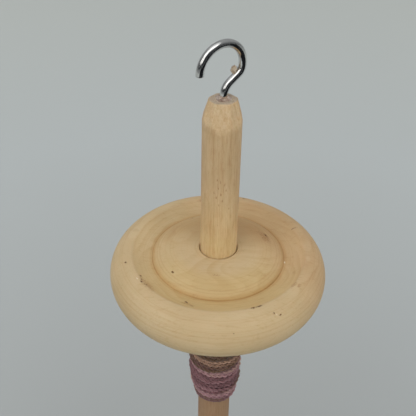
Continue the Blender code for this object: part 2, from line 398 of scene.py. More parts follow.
# Marks in the wood: bearing in degrees, then distance from the axis, half width and half length in mm
PITS = (  # torn holes
    (-67, 30.3, 0.50, 0.80),
    (-63, 30.5, 0.28, 1.20),
    (-112, 26.7, 0.40, 0.70),
    (-107, 28.2, 0.30, 0.90),
    (-141, 19.6, 0.45, 0.55),
    (27, 18.9, 0.45, 0.80),
    (-152, 29.4, 0.35, 0.55),
    (-148, 30.1, 0.25, 0.60),
    (-146, 30.7, 0.30, 0.50),
    (-142, 30.0, 0.22, 0.45),
    (-167, 32.7, 0.36, 0.50),
    (-57, 34.4, 0.45, 0.22),
    (-54, 35.4, 0.25, 0.45),
    (-81, 36.7, 0.22, 0.28),
    (27, 30.4, 1.50, 0.16),
    (74, 33.0, 0.36, 0.60),
    (118, 21.0, 0.36, 0.50),
    (160, 35.8, 0.30, 0.45),
)
SMUDGES = (  # stained or bruised places
    (-33, 30.4, 0.75, 2.10),
    (-31, 32.0, 0.60, 1.50),
    (-143, 29.6, 1.70, 5.50),
    (-110, 27.6, 0.90, 2.60),
    (-92, 14.6, 0.50, 1.60),
    (24, 18.0, 2.00, 4.50),
    (101, 30.0, 0.90, 3.50),
)
CHIPS = (  # pale splinters
    (-7, 23.4, 0.30, 0.55),
    (-56, 34.9, 0.50, 0.16),
    (-150, 31.2, 0.20, 0.70),
)


def whorl_outline():
    """The whorl's section, clockwise from the top of its bore. Height 0 is the flat of the hub."""
    quarter = math.pi / 2
    eased = BORE_RADIUS + BORE_EASING
    bore_top = arc((eased, -BORE_EASING), BORE_EASING, BORE_EASING, math.pi, quarter, 5)
    flat = [(eased + (HUB_FLAT_RADIUS - eased) * step / 5, 0.0) for step in range(1, 5)]
    dome_across = (HUB_RADIUS - HUB_FLAT_RADIUS) / math.sin(DOME_END)
    dome_up = GROOVE_DEPTH / (1 - math.cos(DOME_END))
    dome = arc((HUB_FLAT_RADIUS, -dome_up), dome_across, dome_up, quarter, quarter - DOME_END, 22)
    cove = hollow_arc((HUB_RADIUS, -GROOVE_DEPTH), (CREST_RADIUS, -CREST_DROP), COVE_BEND, 16)
    rim_up = (WHORL_THICKNESS - CREST_DROP) / 2
    rim = arc((CREST_RADIUS, -CREST_DROP - rim_up), RIM_WIDTH, rim_up, quarter, -quarter, 48)
    run_in = [(CREST_RADIUS + (eased - CREST_RADIUS) * step / 12, -WHORL_THICKNESS) for step in range(1, 12)]
    bore_foot = arc(
        (eased, BORE_EASING - WHORL_THICKNESS), BORE_EASING, BORE_EASING, -quarter, -math.pi, 5
    )
    return bore_top + flat + dome + cove[1:] + rim[1:] + run_in + bore_foot


def height_on_top(outline, radius):
    """The height of the whorl's upper surface at this distance from its axis."""
    upper = [point for point in outline if point[1] > -WHORL_THICKNESS / 2]
    return float(np.interp(radius, [p[0] for p in upper], [p[1] for p in upper]))


def marks_on_top(outline, table):
    """The marks of a table on the whorl's upper surface, for Graph.spots."""
    marks = []
    for bearing, distance, half_width, half_length in table:
        middle = polar(bearing, distance, height_on_top(outline, distance * MM) / MM)
        marks.append((middle, math.radians(bearing), (half_width, half_length, half_width)))
    return marks


def whorl_wood(outline):
    """Turned wood. Its places are in millimetres from the middle of the hub's flat, y to the back."""
    wood = Graph("whorl_wood", specular=0.35, subsurface=0.06, subsurface_scale=0.0015)
    place = wood.millimetres()
    x, y, z = wood.split(place)
    radius = wood.vector("LENGTH", wood.vector("MULTIPLY", place, (1.0, 1.0, 0.0)))
    turning = wood.node("CombineXYZ", {0: radius, 2: z})
    # growth rings lie nearly level in the board and swell up in one place, so that they show as
    # long bands round the rim and as nested loops on the hub
    swell = wood.vector("MULTIPLY", wood.vector("SUBTRACT", place, SWELL), (0.55, 1.0, 0.0))
    far = wood.vector("LENGTH", swell)
    swollen = wood.math("DIVIDE", far, wood.math("MULTIPLY_ADD", far, 0.083, 1.0))
    wander = wood.noise(place, (0.02, 0.05, 0.04), detail=2.0)
    level = wood.math("MULTIPLY_ADD", swollen, 1.3, z)
    level = wood.math("MULTIPLY_ADD", wander, 5.0, level)
    ring = wood.math("FRACT", wood.math("MULTIPLY", level, 0.85))
    late = wood.math("MULTIPLY", wood.ease(ring, 0.15, 0.90), wood.ease(ring, 1.0, 0.92))
    patchy = wood.ease(wood.noise(place, (0.045, 0.045, 0.045), detail=1.0), 0.40, 0.66, 0.12, 0.75)
    from_swell = wood.vector("DISTANCE", place, SWELL)
    near_swell = wood.math("MULTIPLY", wood.ease(from_swell, 15.0, 6.0), wood.ease(from_swell, 1.0, 6.0))
    patchy = wood.math("MULTIPLY", patchy, wood.ease(from_swell, 4.0, 12.0))
    patchy = wood.math("MULTIPLY_ADD", near_swell, 0.42, patchy)
    fibre = wood.noise(place, (0.10, 1.5, 1.5), detail=4.0, roughness=0.6)
    pore = wood.noise(place, (0.7, 5.0, 5.0))
    blotch = wood.noise(place, (0.05, 0.07, 0.07), detail=3.0)
    lathe = wood.noise(turning, (1.3, 1.3, 1.3), detail=4.0, roughness=0.7)
    wood.colour(wood.ramp(
        blotch,
        (0.30, (0.560, 0.418, 0.234)),
        (0.50, (0.590, 0.446, 0.256)),
        (0.70, (0.620, 0.478, 0.286)),
    ))
    wood.tint(wood.math("MULTIPLY", late, patchy), (0.92, 0.87, 0.80))
    wood.tint(wood.ease(fibre, 0.48, 0.30), (0.93, 0.89, 0.82))
    wood.tint(wood.ease(pore, 0.38, 0.26), (0.88, 0.82, 0.74))
    wood.tint(wood.ease(lathe, 0.50, 0.34), (0.94, 0.90, 0.85))
    # the hub's slope and the cove are more amber than the flat and the rim
    amber = wood.math(
        "MULTIPLY",
        wood.ease(radius, 12.0, 17.0),
        wood.ease(radius, CREST_RADIUS / MM + 0.3, CREST_RADIUS / MM - 1.2),
    )
    amber = wood.math("MULTIPLY", amber, wood.ease(y, 2.0, -24.0, 0.30, 1.0))
    wood.tint(amber, (1.0, 0.965, 0.83))
    # the slope's front is a touch more amber still
    slope = wood.math("MULTIPLY", wood.ease(radius, 14.0, 18.0), wood.ease(radius, 23.0, 20.0))
    wood.tint(wood.math("MULTIPLY", slope, wood.ease(y, -4.0, -14.0)), (1.00, 1.00, 0.98))
    # the board's far right is redder
    right = wood.math("ADD", x, wood.math("MULTIPLY", y, 0.9))
    wood.tint(wood.ease(right, 2.0, 26.0), (0.95, 0.875, 0.84))
    # painted shadow: the hub is darker behind the shaft, where the shaft shades it
    back = wood.math("MULTIPLY", wood.ease(y, -3.0, 12.0), wood.ease(radius, 26.5, 16.5))
    wood.tint(back, (0.83, 0.75, 0.65))
    # darker round the groove, in a wide faint band and a thin dark line
    from_groove = wood.math("ABSOLUTE", wood.math("SUBTRACT", radius, HUB_RADIUS / MM))
    wood.tint(wood.ease(from_groove, 1.8, 0.2), (0.94, 0.87, 0.77))
    thin = wood.math("MULTIPLY", wood.ease(from_groove, 0.30, 0.05), wood.ease(blotch, 0.30, 0.60, 0.9, 0.4))
    wood.tint(thin, (0.74, 0.60, 0.46))
    grime = wood.noise(place, (0.16, 0.16, 0.16), detail=5.0, roughness=0.7)
    wood.tint(wood.ease(grime, 0.62, 0.80), (0.82, 0.79, 0.74))
    speck = wood.noise(place, (2.2, 2.2, 2.2), detail=3.0, roughness=0.7)
    ragged = wood.math("MULTIPLY_ADD", speck, 3.0, -1.5)
    hole = wood.spots(place, marks_on_top(outline, PITS), ragged)
    smudge = wood.math(
        "MULTIPLY",
        wood.spots(place, marks_on_top(outline, SMUDGES), wood.math("MULTIPLY_ADD", speck, 1.6, -0.8)),
        wood.ease(speck, 0.62, 0.45, 0.15, 0.8),
    )
    chip = wood.spots(place, marks_on_top(outline, CHIPS), ragged)
    wood.tint(smudge, (0.74, 0.62, 0.54))
    wood.tint(hole, (0.40, 0.29, 0.22))
    wood.tint(wood.math("MULTIPLY", chip, 0.7), (0.78, 0.70, 0.55), "MIX")
    wood.rough(wood.ease(fibre, 0.25, 0.75, 0.50, 0.66))
    wood.bump(lathe, 0.00008, 0.5)
    wood.bump(fibre, 0.00005, 0.5)
    wood.bump(wood.math("SUBTRACT", 1.0, hole), 0.0005, 0.9)
    return wood.material


def make_whorl():
    outline = whorl_outline()
    points = []
    for radius, height in outline:
        for side in range(WHORL_SIDES):
            points.append(polar(360 * side / WHORL_SIDES, radius, height))
    mesh = smooth_mesh("whorl_turned", points, ring_faces(len(outline), WHORL_SIDES, closed=True), 34)
    mesh.flip_normals()
    place = (0.0, 0.0, HUB_HEIGHT)
    add_piece("whorl_turned", mesh, whorl_wood(outline), WHORL, place, ["whorl"])


# ---------------------------------------------------------------- shaft

# Bearings in degrees, and all else in millimetres
KNIFE_CUTS = (  # bearing, depth at the end face, length down the shaft
    (-90, 3.1, 9.6),
    (-43, 2.5, 8.7),
    (2, 1.8, 7.3),
    (47, 2.4, 8.4),
    (91, 3.0, 9.0),
    (137, 2.5, 8.0),
    (181, 2.1, 7.4),
    (226, 2.5, 7.3),
)
CUT_SOFTNESS = 0.10 * MM  # over which one cut's edge runs into the next
TOP_EASING = 0.55 * MM
FOOT_CHAMFER = 0.8 * MM
SHAFT_SIDES = 160
FINE_STEP, FINE_RINGS = 0.16 * MM, 69  # of the rings where the knife cut
COARSE_STEP = 1.2 * MM
PITH = (14.0, 20.0, 0.0)  # the middle of the growth rings, in millimetres
HOOK_BEARING = 38
SHANK_OFFSET = 0.3 * MM
SHANK_DEPTH = 17.0 * MM
WIRE_RADIUS = 1.3 * MM
PILOT_RADIUS = WIRE_RADIUS + 0.3 * MM
PILOT_DEPTH = SHANK_DEPTH + 0.3 * MM
MOUTH_DEPTH = 0.4 * MM  # of the ring that keeps the hole's edge crisp
DINGS = (  # small dents: bearing, distance below the top, depth, half width, half height
    (-153, 3.7, 0.28, 1.0, 0.7),
    (-70, 5.2, 0.16, 1.6, 1.5),
    (-25, 4.6, 0.18, 1.2, 1.2),
    (100, 4.0, 0.18, 1.4, 1.1),
    (-119, 26.2, -0.10, 0.7, 0.35),
    (-89, 27.1, 0.10, 0.5, 0.5),
    (150, 140.0, 0.12, 0.9, 1.6),
    (-60, 190.0, 0.12, 0.8, 1.2),
)
DASHES = (  # short dark marks: bearing and distance below the top
    (-99, 26.5),
    (-89, 27.1),
    (-78, 28.3),
    (-108, 31.6),
    (-88, 31.9),
    (-61, 38.1),
    (-95, 29.6),
    (-101, 33.4),
    (-83, 34.6),
    (-93, 36.3),
    (-72, 30.4),
    (40, 30.0),
    (140, 18.0),
    (100, 45.0),
)
DASH_HALVES = (0.5, 0.20, 0.62)  # half their size into the wood, across it and along it


def shaft_radius(bearing, below):
    """The shaft's radius at a bearing and a distance below its top, with its knife cuts and dings."""
    gone = 0.0
    for cut_bearing, depth, length in KNIFE_CUTS:
        facing = math.cos(math.radians(bearing - cut_bearing))
        if facing < 0.2 or below > length * MM:
            continue
        left = depth * MM * (1 - below / (length * MM))
        reach = (SHAFT_RADIUS - left) / facing
        gone += math.exp((SHAFT_RADIUS - reach) / CUT_SOFTNESS)
    radius = SHAFT_RADIUS - CUT_SOFTNESS * math.log(1 + gone)
    for ding_bearing, ding_below, depth, half_width, half_height in DINGS:
        turn = (bearing - ding_bearing + 180) % 360 - 180
        across = math.radians(turn) * SHAFT_RADIUS / MM / half_width
        up = (below / MM - ding_below) / half_height
        radius -= depth * MM * math.exp(-across * across - up * up)
    return radius


def shaft_heights():
    """How far below the top each ring of the shaft lies, closer together where the knife cut."""
    length = SHAFT_TOP - SHAFT_FOOT
    fine = [FINE_STEP * (step + 1) for step in range(FINE_RINGS)]
    coarse = []
    below = fine[-1]
    while below < length - FOOT_CHAMFER - COARSE_STEP:
        below += COARSE_STEP
        coarse.append(below)
    return fine + coarse + [length - FOOT_CHAMFER]


def shaft_wood():
    """Dowel wood. Its places are in millimetres from the middle of the shaft's top."""
    wood = Graph("shaft_wood", specular=0.3, subsurface=0.06, subsurface_scale=0.0015)
    place = wood.millimetres()
    z = wood.split(place)[2]
    drift = wood.noise(place, (0.05, 0.05, 0.012), detail=2.0)
    bent = wood.vector("ADD", place, wood.node("CombineXYZ", {0: drift, 1: drift}))
    grain = wood.noise(bent, (1.5, 1.5, 0.030), detail=4.0, roughness=0.62)
    fine = wood.noise(bent, (5.0, 5.0, 0.14), detail=3.0, roughness=0.6)
    pore = wood.noise(bent, (6.5, 6.5, 0.7))
    from_pith = wood.vector("MULTIPLY", wood.vector("SUBTRACT", bent, PITH), (1.0, 1.0, 0.02))
    rings = wood.math("FRACT", wood.math("MULTIPLY", wood.vector("LENGTH", from_pith), 0.62))
    late = wood.math("MULTIPLY", wood.ease(rings, 0.2, 0.9), wood.ease(rings, 1.0, 0.93))
    blotch = wood.noise(place, (0.12, 0.12, 0.05), detail=3.0)
    wood.colour(wood.ramp(
        blotch,
        (0.30, (0.540, 0.385, 0.215)),
        (0.50, (0.585, 0.425, 0.245)),
        (0.70, (0.625, 0.468, 0.285)),
    ))
    wood.tint(wood.math("MULTIPLY", late, 0.4), (0.92, 0.86, 0.78))
    wood.tint(wood.ease(grain, 0.50, 0.32), (0.91, 0.85, 0.78))
    wood.tint(wood.ease(fine, 0.48, 0.36), (0.89, 0.82, 0.74))
    wood.tint(wood.ease(fine, 0.54, 0.66), (1.06, 1.07, 1.08))
    wood.tint(wood.ease(pore, 0.36, 0.26), (0.78, 0.68, 0.58))
    # freshly whittled wood is paler, and the end grain greyer
    cut = wood.ease(wood.math("ADD", z, wood.math("MULTIPLY", blotch, 3.0)), -8.5, -6.0)
    mottle = wood.noise(place, (1.0, 1.0, 0.28), detail=5.0, roughness=0.7)
    wood.tint(wood.ease(mottle, 0.52, 0.36, 0.0, 0.55), (0.91, 0.84, 0.79))
    wood.tint(cut, (1.08, 1.10, 1.13))
    # paler towards the whorl, and below the cop a painted shadow of the whorl and cop, darker and redder,
    # with a painted pink reflection of the yarn
    wood.tint(wood.ease(z, -24.0, -50.0), (1.16, 1.16, 1.08))
    above_whorl = wood.math("MULTIPLY", wood.ease(z, -48.0, -53.0), wood.ease(z, -78.0, -60.0))
    wood.tint(above_whorl, (1.07, 1.12, 1.12))
    # painted shadow and painted pink reflection below the cop
    cop_shade_mask = wood.ease(z, -131.0, -136.0)
    painted_shade_below_cop = wood.ramp(wood.ease(z, -150.0, -230.0), (0.0, (0.56, 0.49, 0.53)), (1.0, (0.80, 0.76, 0.74)))
    wood.tint(cop_shade_mask, painted_shade_below_cop)
    # painted shade: darker and pinker towards the shaft's outline as seen, where its surface turns away
    rim = wood.node("LayerWeight", {"Blend": 0.35}, "Facing")
    wood.tint(wood.ease(rim, 0.35, 0.95), (0.93, 0.87, 0.86))
    marks = []
    for bearing, below in DASHES:
        middle = polar(bearing, SHAFT_RADIUS / MM, -below)
        marks.append((middle, math.radians(bearing), DASH_HALVES))
    ragged = wood.math("MULTIPLY_ADD", pore, 3.0, -1.5)
    wood.tint(wood.spots(place, marks, ragged), (0.72, 0.58, 0.48))
    end = wood.ease(z, -0.45, -0.10)
    speck = wood.noise(place, (3.2, 3.2, 3.2), detail=3.0, roughness=0.65)
    end_colour = wood.ramp(speck, (0.30, (0.320, 0.250, 0.180)), (0.62, (0.530, 0.425, 0.315)))
    wood.tint(end, end_colour, "MIX")
    wood.rough(wood.ease(fine, 0.25, 0.75, 0.52, 0.70))
    wood.bump(grain, 0.00012, 0.7)
    wood.bump(fine, 0.00006, 0.7)
    wood.bump(wood.math("MULTIPLY", mottle, cut), 0.00045, 0.7)
    return wood.material


def make_shaft():
    """Rings down the outside, then the foot. From the top's edge, rings run in to the pilot hole."""
    bearings = [360 * side / SHAFT_SIDES for side in range(SHAFT_SIDES)]
    hole_centre = polar(HOOK_BEARING, SHANK_OFFSET)
    rim = [polar(bearing, shaft_radius(bearing, 0.0)) for bearing in bearings]
    mouth = [hole_centre + polar(bearing, PILOT_RADIUS) for bearing in bearings]
    rings = [[point - Vector((0.0, 0.0, depth)) for point in mouth] for depth in (PILOT_DEPTH, MOUTH_DEPTH)]
    for part in (0.0, 0.3, 0.6, 0.85):
        rings.append([inner.lerp(outer, part) for inner, outer in zip(mouth, rim)])
    for step in range(1, 5):
        turn = math.pi / 2 * step / 5
        drop = TOP_EASING * (1 - math.cos(turn))
        ring = []
        for bearing in bearings:
            inset = TOP_EASING * (1 - math.sin(turn))
            ring.append(polar(bearing, shaft_radius(bearing, drop) - inset, -drop))
        rings.append(ring)
    for below in shaft_heights():
        if below > TOP_EASING:
            rings.append([polar(bearing, shaft_radius(bearing, below), -below) for bearing in bearings])
    length = SHAFT_TOP - SHAFT_FOOT
    for inset, up in ((0.3, 0.25), (1.0, 0.0), (3.0, 0.0), (5.0, 0.0)):
        radius = SHAFT_RADIUS - inset * FOOT_CHAMFER
        rings.append([polar(bearing, radius, up * FOOT_CHAMFER - length) for bearing in bearings])
    points = [point for ring in rings for point in ring]
    faces = [(b, a, d, c) for a, b, c, d in ring_faces(len(rings), SHAFT_SIDES)]
    for ring, order in ((0, 1), (len(rings) - 1, -1)):
        first = ring * SHAFT_SIDES
        faces.append(tuple(range(first, first + SHAFT_SIDES))[::order])
    mesh = smooth_mesh("shaft_dowel", points, faces, 40)
    place = (0.0, 0.0, SHAFT_TOP)
    add_piece("shaft_dowel", mesh, shaft_wood(), SPINDLE, place, ["shaft"])


# ---------------------------------------------------------------- hook

NECK_RISE = 0.8 * MM
NECK_BEND_RADIUS = 4.9 * MM
NECK_LEAN = math.radians(58)
NECK_RUN = 3.6 * MM
THROAT_BEND_RADIUS = 3.0 * MM
THROAT_TURN = math.radians(47)
LOOP_RADIUS = 8.0 * MM
LOOP_TURN = math.radians(192)
TIP_EASING = 0.22 * MM
TIP_RINGS = 4
THREAD_LENGTH = 13.0 * MM
THREAD_PITCH = 1.4 * MM
THREAD_DEPTH = 0.4 * MM
THREAD_RUNOUT = 1.2 * MM
GIMLET_TAPER = 3.5 * MM
WIRE_SIDES = 36
THREAD_STEP = THREAD_PITCH / 10
BEND_STEP = math.radians(3.0)
HOOK_ACROSS = polar(HOOK_BEARING, 1.0)
HOOK_NORMAL = Vector((0.0, 0.0, 1.0)).cross(HOOK_ACROSS)


def run(path, length, step):
    """Carries the wire straight on. A path's points are (across, height, heading)."""
    across, height, heading = path[-1]
    count = max(1, round(length / step))
    for index in range(1, count + 1):
        done = length * index / count
        path.append((across + done * math.cos(heading), height + done * math.sin(heading), heading))


def bend(path, radius, turn):
    """Bends the wire on by turn, to the left if it is positive."""
    across, height, heading = path[-1]
    side = math.copysign(radius, turn)
    centre = (across - side * math.sin(heading), height + side * math.cos(heading))
    count = max(2, round(abs(turn) / BEND_STEP))
    for index in range(1, count + 1):
        angle = heading + turn * index / count
        path.append((centre[0] + side * math.sin(angle), centre[1] - side * math.cos(angle), angle))


def hook_path():
    """The wire's centreline from its gimlet point up, in the plane of the hook, from the shaft's top."""
    path = [(SHANK_OFFSET, -SHANK_DEPTH, math.pi / 2)]
    run(path, THREAD_LENGTH, THREAD_STEP)
    run(path, SHANK_DEPTH - THREAD_LENGTH + NECK_RISE, 0.5 * MM)
    bend(path, NECK_BEND_RADIUS, -NECK_LEAN)
    run(path, NECK_RUN, 0.5 * MM)
    bend(path, THROAT_BEND_RADIUS, THROAT_TURN)
    bend(path, LOOP_RADIUS, LOOP_TURN)
    return path


def wire_radius(along, angle):
    """The wire's radius at this distance from its point, with the thread's ridge where it has one."""
    if along >= THREAD_LENGTH:
        return WIRE_RADIUS
    phase = (along / THREAD_PITCH - angle / math.tau) % 1.0
    full = WIRE_RADIUS - THREAD_DEPTH * abs(2 * phase - 1)
    runout = max(0.0, 1 - (THREAD_LENGTH - along) / THREAD_RUNOUT)
    return min(1.0, along / GIMLET_TAPER) * (full + (WIRE_RADIUS - full) * runout)


def in_hook_plane(across, height):
    return HOOK_ACROSS * across + Vector((0.0, 0.0, height))


def steel():
    metal = Graph("hook_steel", metallic=1.0, coat=0.0)
    strand = metal.node("Attribute", {}, "Vector", attribute_name="strand")
    drawn = metal.noise(strand, (0.10, 3.0, 3.0), detail=4.0, roughness=0.65)
    haze = metal.noise(strand, (0.35, 0.6, 0.6), detail=3.0)
    scuff = metal.noise(strand, (1.2, 5.0, 5.0), detail=3.0, roughness=0.7)
    metal.colour(metal.ramp(haze, (0.35, (0.60, 0.60, 0.59)), (0.65, (0.76, 0.76, 0.75))))
    metal.tint(metal.ease(scuff, 0.62, 0.75), (0.72, 0.70, 0.68))
    metal.rough(metal.ease(haze, 0.3, 0.7, 0.10, 0.20))
    metal.bump(drawn, 0.00002, 0.35)
    metal.bump(scuff, 0.00001, 0.35)
    return metal.material


def add_vectors(mesh, name, values):
    """Stores a vector for each vertex under that name, for a material to read."""
    layer = mesh.attributes.new(name, "FLOAT_VECTOR", "POINT")
    layer.data.foreach_set("vector", np.asarray(values, np.float32).ravel())


def make_hook():
    path = hook_path()
    across, height, heading = path[-1]
    eased = []
    path.pop()  # the cut end is eased over the last rings, which take this point's place
    for step in range(1, TIP_RINGS + 1):
        turn = math.pi / 2 * step / TIP_RINGS
        back = TIP_EASING * (math.sin(turn) - 1)
        path.append((across + back * math.cos(heading), height + back * math.sin(heading), heading))
        eased.append(TIP_EASING * (1 - math.cos(turn)))
    points, strand = [], []
    along = 0.0
    rings = path[1:]
    for index, (across, height, heading) in enumerate(rings):
        along += math.dist(path[index][:2], (across, height))
        inset = eased[index - len(rings)] if index >= len(rings) - TIP_RINGS else 0.0
        inwards = in_hook_plane(-math.sin(heading), math.cos(heading))
        for side in range(WIRE_SIDES):
            angle = math.tau * side / WIRE_SIDES
            outwards = inwards * math.cos(angle) + HOOK_NORMAL * math.sin(angle)
            radius = wire_radius(along, angle) - inset
            points.append(in_hook_plane(across, height) + outwards * radius)
            around = (math.cos(angle) * WIRE_RADIUS / MM, math.sin(angle) * WIRE_RADIUS / MM)
            strand.append((along / MM, *around))
    faces = ring_faces(len(rings), WIRE_SIDES)
    points.append(in_hook_plane(*path[0][:2]))
    strand.append((0.0, 0.0, 0.0))
    point = len(points) - 1
    for side in range(WIRE_SIDES):
        faces.append((point, (side + 1) % WIRE_SIDES, side))
    last = (len(rings) - 1) * WIRE_SIDES
    faces.append(tuple(range(last, last + WIRE_SIDES)))
    mesh = smooth_mesh("hook_wire", points, faces, 50)
    add_vectors(mesh, "strand", strand)
    place = (0.0, 0.0, SHAFT_TOP)
    add_piece("hook_wire", mesh, steel(), SPINDLE, place, ["screw_hook"])


# ---------------------------------------------------------------- glue

GLUE_REACH = 1.15 * MM  # from the wire out over the end of the shaft
GLUE_CLIMB = 0.95 * MM
GLUE_SIDES, GLUE_RINGS = 72, 12
GLUE_GAP = 0.02 * MM  # to the wire
BEAD_PLACE = (4.2 * MM, 8.45 * MM)  # in the plane of the hook, across and above the shaft's top
BEAD_ASIDE = 0.4 * MM  # out of that plane
BEAD_SIZE = (1.00 * MM, 1.00 * MM, 1.20 * MM)
POOL_TONES = ((0.19, 0.105, 0.068), (0.36, 0.245, 0.170), (0.54, 0.420, 0.320))
DROP_TONES = ((0.50, 0.37, 0.25), (0.66, 0.54, 0.40), (0.80, 0.70, 0.56))


def dried_glue(name, transmission, tones):
    glue = Graph(name, ior=1.49, transmission=transmission, coat=0.15, coat_roughness=0.1)
    place = glue.millimetres()
    cloud = glue.noise(place, (1.1, 1.1, 1.1), detail=3.0)
    dust = glue.noise(place, (6.0, 6.0, 6.0), detail=2.0, roughness=0.7)
    glue.colour(glue.ramp(cloud, *zip((0.32, 0.50, 0.68), tones)))
    glue.tint(glue.ease(dust, 0.62, 0.74), (0.55, 0.42, 0.34))
    glue.rough(glue.ease(dust, 0.3, 0.8, 0.16, 0.34))
    glue.bump(cloud, 0.00012, 0.5)
    return glue.material


def make_glue_collar():
    """A meniscus that climbs the wire and runs out thin over the end of the shaft."""
    points = []
    for step in range(GLUE_RINGS + 1):
        part = step / GLUE_RINGS
        for side in range(GLUE_SIDES):
            bearing = 360 * side / GLUE_SIDES
            wave = noise.noise(polar(bearing, 1.1) + Vector((3.1, 0.0, 0.0)))
            reach = GLUE_REACH * (1 + 0.45 * wave)
            radius = WIRE_RADIUS + GLUE_GAP + reach * part
            height = GLUE_CLIMB * (1 + 0.3 * wave) * (1 - part) ** 2.1 + 0.12 * MM * (1 - part ** 6)
            points.append(polar(bearing, radius, height))
    for side in range(GLUE_SIDES):
        points.append(polar(360 * side / GLUE_SIDES, WIRE_RADIUS + GLUE_GAP))
    mesh = smooth_mesh("glue_meniscus", points, ring_faces(GLUE_RINGS + 2, GLUE_SIDES, closed=True), 60)
    place = polar(HOOK_BEARING, SHANK_OFFSET, SHAFT_TOP + 0.01 * MM)
    surface = dried_glue("glue_pool", 0.25, POOL_TONES)
    add_piece("glue_meniscus", mesh, surface, SPINDLE, place, ["glue_collar"])


def make_glue_bead():
    """A lumpy bead of glue that stuck to the inside of the hook's throat."""
    shape = bmesh.new()
    bmesh.ops.create_icosphere(shape, subdivisions=5, radius=1.0)
    for vert in shape.verts:
        lump = 1 + 0.30 * noise.noise(vert.co * 1.3 + Vector((0.4, 7.0, 2.2)))
        lump += 0.10 * noise.noise(vert.co * 3.1)
        vert.co = vert.co * Vector(BEAD_SIZE) * lump
    mesh = bpy.data.meshes.new("glue_bead")
    shape.to_mesh(mesh)
    shape.free()
    mesh.shade_smooth()
    place = in_hook_plane(*BEAD_PLACE) + HOOK_NORMAL * BEAD_ASIDE + Vector((0.0, 0.0, SHAFT_TOP))
    add_piece("glue_bead", mesh, dried_glue("glue_drop", 0.35, DROP_TONES), SPINDLE, place)


# ---------------------------------------------------------------- yarn

YARN_DIAMETER = 1.5 * MM
PLY_RADIUS = 0.50 * MM
PLY_OFFSET = 0.25 * MM
TWIST_PITCH = 4.2 * MM
PLY_SIDES = 6
RING_STEP = 0.7 * MM
TURN_POINTS = 24  # of the wound path, for each turn
HAIRS = 420
HAIR_RADIUS = 0.035 * MM
HAIR_RINGS, HAIR_SIDES = 5, 3
HAIR_ROOT = 0.38 * YARN_DIAMETER  # from the yarn's middle
INNER_SHARE = 0.56  # of the yarn's length, which lies too deep for its hairs to show
HIGHEST = COP_TOP - 0.9 * MM
INNER_RADIUS = SHAFT_RADIUS + 0.06 * MM + YARN_DIAMETER / 2
OUTER_RADIUS = COP_RADIUS - 0.25 * MM - YARN_DIAMETER / 2
PASSES = (  # of winding: height above the cop's foot where it ends, pitch, radius, tilt, and its bearing
    (4.5 * MM, 1.60 * MM, INNER_RADIUS, 0.2 * MM, 0),
    (56.0 * MM, 1.60 * MM, (INNER_RADIUS + OUTER_RADIUS) / 2, 0.4 * MM, 120),
    (3.9 * MM, 1.50 * MM, OUTER_RADIUS, 1.0 * MM, 185),
    (57.0 * MM, 6.40 * MM, OUTER_RADIUS + 0.35 * MM, 1.8 * MM, 150),
)
TOE = 13.6 * MM  # the length over which the cop narrows
TOE_END = 3.9 * MM  # the height above the cop's foot where it is narrowest
TILT_END = 3.2 * MM  # the height above the cop's foot below which turns lie level
TILT_FADE = 4.0 * MM  # the height over which the tilt comes in


def cop_edge(heights, radius):
    """The winding's radius where the cop narrows to its toe, and that radius above."""
    up = np.clip((heights - COP_FOOT - TOE_END) / TOE, 0.0, 1.0)
    edge = INNER_RADIUS + (radius - INNER_RADIUS) * np.sin(math.pi / 2 * up)
    return np.minimum(radius, edge)


def wander(values, seed):
    """A slow wander in -1..1."""
    return np.array([noise.noise(Vector((value, seed, 0.0))) for value in values])


def cop_path():
    """The yarn's middle line, wound in passes down and up: x, y, z and the height before any tilt."""
    points = []
    turn, height = 0.0, HIGHEST
    for index, (end, pitch, radius, tilt, bearing) in enumerate(PASSES):
        end = min(COP_FOOT + end, HIGHEST)
        count = abs(end - height) / pitch
        parts = np.linspace(0.0, 1.0, int(count * TURN_POINTS) + 1)
        turns = turn + parts * count
        heights = height + (end - height) * parts
        lean = math.tau * turns - math.radians(bearing) + 1.2 * wander(turns * 0.12, index + 9.0)
        from_end = np.minimum(HIGHEST - heights, heights - COP_FOOT - TILT_END)
        inside = np.clip(from_end / TILT_FADE, 0.0, 1.0)
        radii = cop_edge(heights, radius) + 0.10 * MM * wander(turns * 1.7, index + 5.0)
        tilted = heights + inside * (tilt * np.cos(lean) + 0.35 * MM * wander(turns * 0.9, index + 2.0))
        angles = math.tau * turns
        block = np.stack([radii * np.cos(angles), radii * np.sin(angles), tilted, heights], axis=1)
        points.append(block if index == 0 else block[1:])
        turn, height = turns[-1], end
    return np.concatenate(points)


def resampled(points, step):
    """Points on the same line, step apart, and their distances along it."""
    gaps = np.linalg.norm(np.diff(points[:, :3], axis=0), axis=1)
    along = np.concatenate([[0.0], np.cumsum(gaps)])
    wanted = np.linspace(0.0, along[-1], int(along[-1] / step) + 1)
    return np.stack([np.interp(wanted, along, column) for column in points.T], axis=1), wanted


TONES = (  # dyed colours, from dark brown to tan
    (0.00, (0.105, 0.066, 0.042)),
    (0.24, (0.230, 0.140, 0.095)),
    (0.42, (0.200, 0.086, 0.096)),
    (0.62, (0.315, 0.155, 0.172)),
    (0.84, (0.520, 0.290, 0.310)),
    (1.00, (0.600, 0.400, 0.300)),
)
BROWNS = (  # the same for the yarn's browner stretch
    (0.00, (0.095, 0.058, 0.036)),
    (0.50, (0.235, 0.132, 0.082)),
    (1.00, (0.640, 0.390, 0.275)),
)
BROWN_FROM, BROWN_TO = 23.4 * MM, 26.6 * MM  # above the cop's foot
